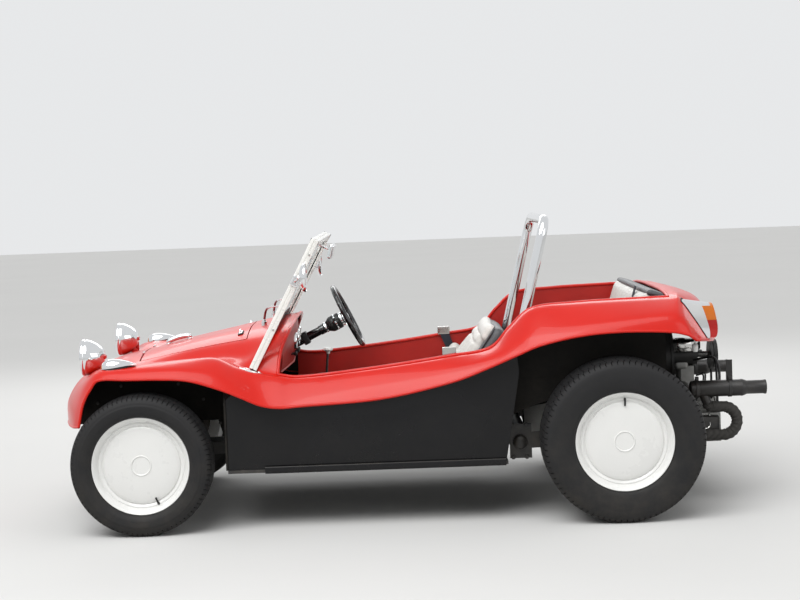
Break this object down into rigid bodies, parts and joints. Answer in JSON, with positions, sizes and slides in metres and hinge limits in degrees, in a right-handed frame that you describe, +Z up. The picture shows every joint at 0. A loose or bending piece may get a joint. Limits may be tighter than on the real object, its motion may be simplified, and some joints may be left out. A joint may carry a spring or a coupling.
{
  "type": "dune buggy",
  "caption": "Open short-wheelbase dune buggy: moulded body, fixed windshield, roll bar, bucket seats, rear engine and wide tyres.",
  "frame": {"origin": "on the ground under the middle of the length, on the centre plane", "axes": "+X is forward, +Y is the car's left, +Z is up"},
  "size_m": [3.0997, 1.688, 1.29],
  "materials": {
    "red_body": "glossy moulded skin",
    "black_panel": "semi-gloss black panels",
    "black_steel": "satin black paint",
    "tub_red": "moulded inner tub",
    "chrome": "polished",
    "window_glass": "clear",
    "white_vinyl": "soft vinyl",
    "black_rubber": "matte",
    "tyre_rubber": "matte",
    "white_paint": "glossy paint",
    "cast_alloy": "cast",
    "lens_red": "clear coloured lens"
  },
  "bodies": {
    "chassis": {"floor_pan": "black_steel", "front_body": "red_body", "left_body_side": "red_body", "right_body_side": "red_body", "rear_body": "red_body", "left_side_panel": "black_panel", "right_side_panel": "black_panel", "front_tub": "black_steel", "rear_tub": "tub_red", "dashboard": "red_body", "windshield_frame": "chrome", "windshield_glass": "window_glass", "roll_bar": "chrome", "left_seat": "white_vinyl", "right_seat": "white_vinyl", "rear_seat": "white_vinyl", "steering_column": "chrome", "driver_controls": "black_rubber", "headlights": "chrome", "turn_signals": "chrome", "tail_lamps": "lens_red", "mirrors": "chrome", "fuel_tank": "black_steel", "front_axle_beam": "black_steel", "trailing_arms": "black_steel", "shock_absorbers": "black_steel", "rear_torsion_tube": "black_steel", "transaxle": "cast_alloy", "engine": "cast_alloy", "fan_shroud": "black_steel", "exhaust": "black_steel"},
    "hood": {"hood": "red_body"},
    "left_knuckle": {"left_knuckle": "black_steel"},
    "right_knuckle": {"right_knuckle": "black_steel"},
    "pitman_arm": {"pitman_arm": "black_steel"},
    "track_rod": {"track_rod": "black_steel"},
    "steering_wheel": {"steering_wheel": "black_rubber"},
    "front_left_wheel": {"front_left_rim": "white_paint", "front_left_tyre": "tyre_rubber"},
    "front_right_wheel": {"front_right_rim": "white_paint", "front_right_tyre": "tyre_rubber"},
    "rear_left_wheel": {"rear_left_rim": "white_paint", "rear_left_tyre": "tyre_rubber"},
    "rear_right_wheel": {"rear_right_rim": "white_paint", "rear_right_tyre": "tyre_rubber"}
  },
  "joints": [
    {"name": "front_left_steer", "type": "hinge", "parent": "chassis", "child": "left_knuckle", "pos_m": [1.15, 0.6, 0.3], "axis": [0, 0, 1], "range_deg": [-28, 28]},
    {"name": "front_right_steer", "type": "hinge", "parent": "chassis", "child": "right_knuckle", "pos_m": [1.15, -0.6, 0.3], "axis": [0, 0, 1], "range_deg": [-28, 28]},
    {"name": "pitman_arm_swing", "type": "hinge", "parent": "chassis", "child": "pitman_arm", "pos_m": [1.15, -0.3, 0.355], "axis": [0, 0, 1], "range_deg": [-28, 28]},
    {"name": "track_rod_pivot", "type": "hinge", "parent": "left_knuckle", "child": "track_rod", "pos_m": [1.02, 0.6, 0.34], "axis": [0, 0, 1], "range_deg": [-28, 28]},
    {"name": "steering_wheel_turn", "type": "hinge", "parent": "chassis", "child": "steering_wheel", "pos_m": [0.292, -0.3, 0.828], "axis": [-0.8988, 0, 0.4384], "range_deg": [-392, 392]},
    {"name": "hood_hinge", "type": "hinge", "parent": "chassis", "child": "hood", "pos_m": [1.207, 0, 0.7275], "axis": [0, 1, 0], "range_deg": [0, 55]},
    {"name": "front_left_spin", "type": "hinge", "parent": "left_knuckle", "child": "front_left_wheel", "pos_m": [1.15, 0.67, 0.3], "axis": [0, 1, 0], "continuous": true},
    {"name": "front_right_spin", "type": "hinge", "parent": "right_knuckle", "child": "front_right_wheel", "pos_m": [1.15, -0.67, 0.3], "axis": [0, 1, 0], "continuous": true},
    {"name": "rear_left_spin", "type": "hinge", "parent": "chassis", "child": "rear_left_wheel", "pos_m": [-0.882, 0.716, 0.342], "axis": [0, 1, 0], "continuous": true},
    {"name": "rear_right_spin", "type": "hinge", "parent": "chassis", "child": "rear_right_wheel", "pos_m": [-0.882, -0.716, 0.342], "axis": [0, 1, 0], "continuous": true}
  ],
  "couplings": [
    {"joint": "front_right_steer", "follows": "front_left_steer", "ratio": 1},
    {"joint": "pitman_arm_swing", "follows": "front_left_steer", "ratio": 1},
    {"joint": "track_rod_pivot", "follows": "front_left_steer", "ratio": -1},
    {"joint": "steering_wheel_turn", "follows": "front_left_steer", "ratio": 14}
  ]
}
